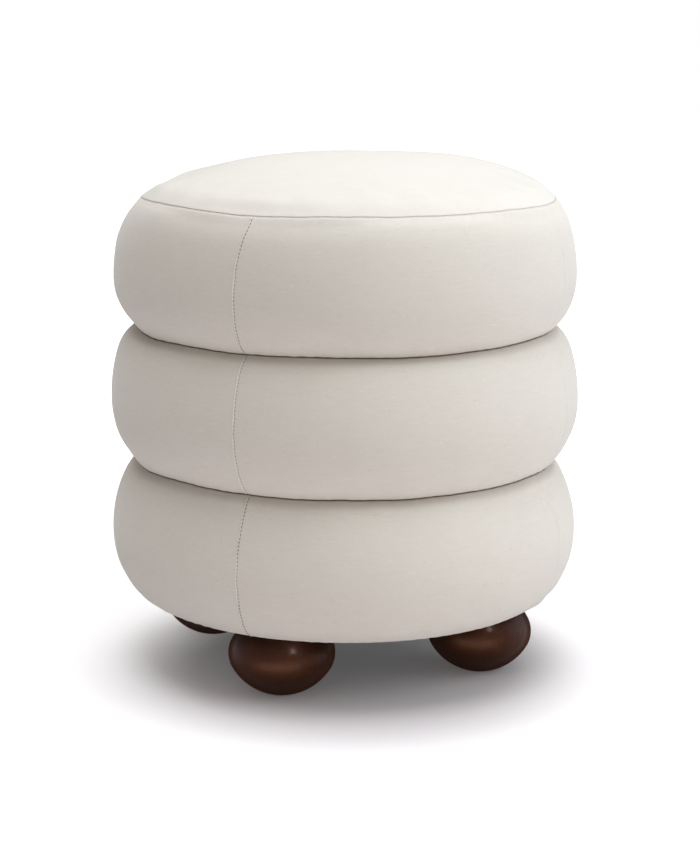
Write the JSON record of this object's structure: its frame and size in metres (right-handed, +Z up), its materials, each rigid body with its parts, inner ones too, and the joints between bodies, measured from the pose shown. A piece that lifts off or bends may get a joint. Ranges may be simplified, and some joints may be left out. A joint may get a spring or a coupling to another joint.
{
  "type": "round ottoman",
  "caption": "Round upholstered ottoman with three bulging fabric tiers, a crowned top and turned wooden bun feet.",
  "frame": {"origin": "on the floor at the ottoman's upright axis, between the four feet", "axes": "+Z up along the ottoman's axis, -Y to the front between the two front feet, +X to the right"},
  "size_m": [0.4599, 0.46, 0.5],
  "materials": {
    "cover_fabric": "fine soft pile, warm light grey",
    "foam": "cut foam",
    "walnut_wood": "dark brown stain, satin lacquer",
    "frame_wood": "raw plywood and softwood",
    "cord": "twisted cord",
    "dust_cover": "thin black nonwoven cloth",
    "steel": "zinc plated"
  },
  "bodies": {
    "root": {"crown_panel": "cover_fabric", "upper_sleeve": "cover_fabric", "middle_sleeve": "cover_fabric", "lower_sleeve": "cover_fabric", "lower_foam": "foam", "middle_foam": "foam", "upper_foam": "foam", "seat_foam": "foam", "crown_foam": "foam", "foot_front_left": "walnut_wood", "foot_front_right": "walnut_wood", "foot_back_left": "walnut_wood", "foot_back_right": "walnut_wood", "base_board": "frame_wood", "seat_board": "frame_wood", "drum_wrap": "frame_wood", "post_front": "frame_wood", "post_back": "frame_wood", "post_left": "frame_wood", "post_right": "frame_wood", "lower_draw_cord": "cord", "upper_draw_cord": "cord", "dust_cover": "dust_cover", "dust_cover_staples": "steel", "hanger_bolts": "steel", "tee_nuts": "steel"}
  },
  "joints": []
}
